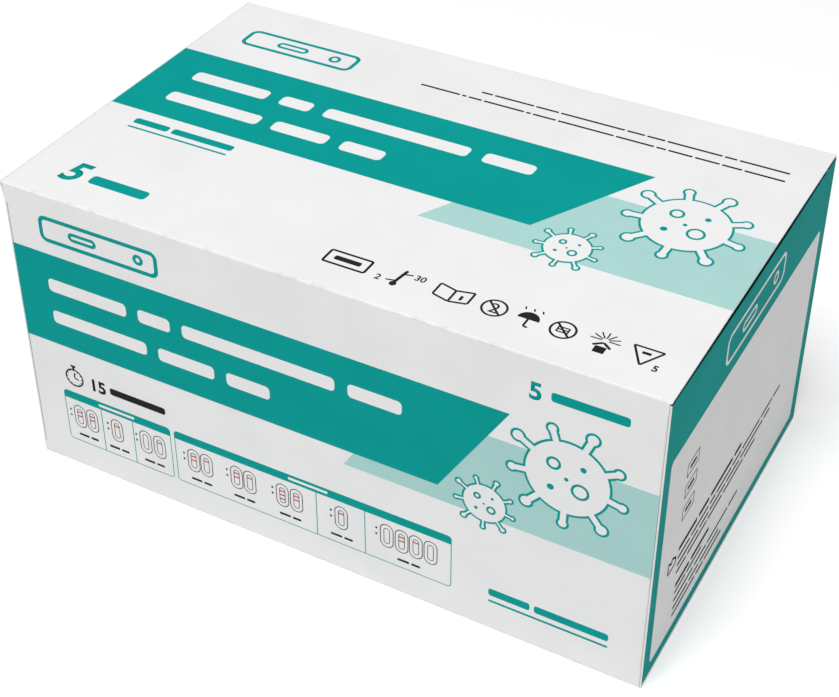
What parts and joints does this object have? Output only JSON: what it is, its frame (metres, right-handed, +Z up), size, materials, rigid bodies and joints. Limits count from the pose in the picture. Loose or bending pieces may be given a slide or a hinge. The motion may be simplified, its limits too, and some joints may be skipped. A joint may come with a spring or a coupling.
{
  "type": "folding carton",
  "caption": "Closed tuck-end folding carton for a self-test kit, with hinged lids at both ends and pouches, swab packs, a tube stand and a leaflet inside.",
  "frame": {"origin": "middle of the carton's bottom face", "axes": "+X along the carton towards the right lid, +Y from the front panel to the back panel, +Z up"},
  "size_m": [0.2009, 0.126, 0.099],
  "materials": {
    "carton_board": "white coated board with teal print",
    "lid_board": "white coated board, printed dark teal outside",
    "pouch_foil": "silver laminate foil",
    "swab_paper": "peel paper",
    "tube_plastic": "frosted plastic",
    "cap_plastic": "moulded plastic",
    "rack_foam": "white foam",
    "leaflet_paper": "thin printed paper"
  },
  "bodies": {
    "carton": {"carton_body": "carton_board", "test_pouch_1": "pouch_foil", "test_pouch_2": "pouch_foil", "test_pouch_3": "pouch_foil", "test_pouch_4": "pouch_foil", "test_pouch_5": "pouch_foil", "swab_pack_1": "swab_paper", "swab_pack_2": "swab_paper", "swab_pack_3": "swab_paper", "swab_pack_4": "swab_paper", "swab_pack_5": "swab_paper", "tube_rack": "rack_foam", "buffer_tube_1": "tube_plastic", "buffer_tube_2": "tube_plastic", "buffer_tube_3": "tube_plastic", "buffer_tube_4": "tube_plastic", "buffer_tube_5": "tube_plastic", "tube_cap_1": "cap_plastic", "tube_cap_2": "cap_plastic", "tube_cap_3": "cap_plastic", "tube_cap_4": "cap_plastic", "tube_cap_5": "cap_plastic", "leaflet": "leaflet_paper"},
    "right_lid": {"right_lid": "lid_board"},
    "left_lid": {"left_lid": "lid_board"}
  },
  "joints": [
    {"name": "right_lid_hinge", "type": "hinge", "parent": "carton", "child": "right_lid", "pos_m": [0.09975, 0, 0.00025], "axis": [0, 1, 0], "range_deg": [0, 90]},
    {"name": "left_lid_hinge", "type": "hinge", "parent": "carton", "child": "left_lid", "pos_m": [-0.10065, 0, 0.09875], "axis": [0, 1, 0], "range_deg": [0, 180]}
  ]
}
